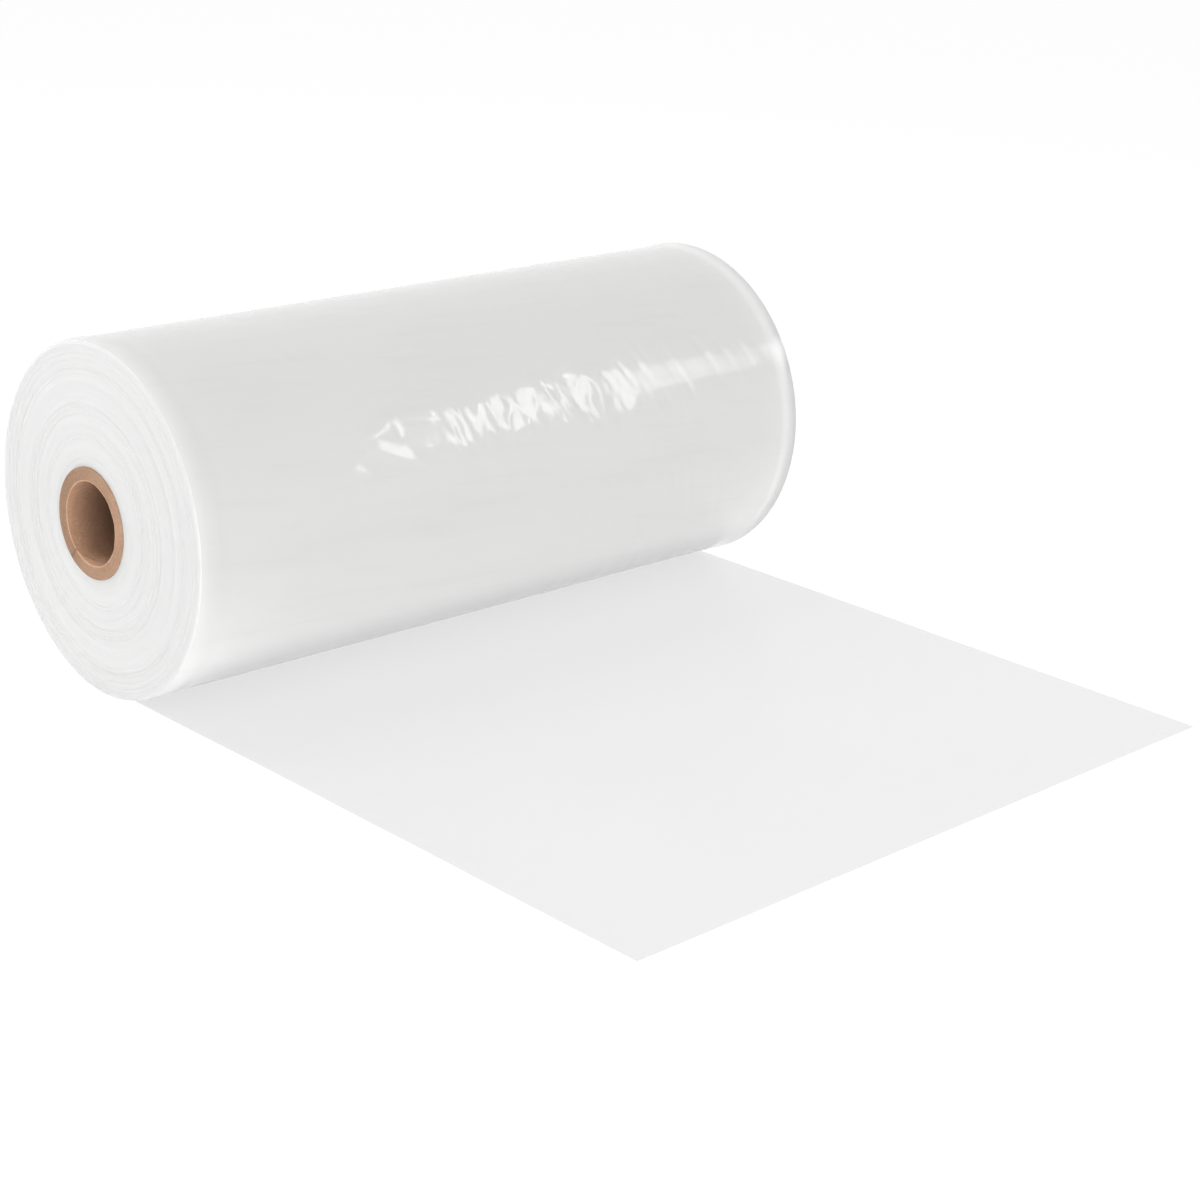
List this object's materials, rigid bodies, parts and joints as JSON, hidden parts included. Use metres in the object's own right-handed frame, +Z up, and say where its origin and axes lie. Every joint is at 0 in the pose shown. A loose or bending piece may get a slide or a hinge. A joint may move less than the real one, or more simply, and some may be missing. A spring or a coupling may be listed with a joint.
{
  "type": "poly tubing roll",
  "caption": "Roll of clear flattened plastic tubing wound on a thick board core, with a length pulled off and lying flat in front.",
  "frame": {"origin": "middle of the core's bore, on the roll's axis", "axes": "+X along the core, towards the end where the outer turns stand out; -Y the way the tubing pulls off; +Z up from the floor"},
  "size_m": [0.7312, 0.8445, 0.324],
  "materials": {
    "kraft_board": "plain kraft board, matt",
    "poly_film": "clear film, milky where it is wound, glossy"
  },
  "bodies": {
    "root": {"core": "kraft_board", "tubing": "poly_film"}
  },
  "joints": []
}
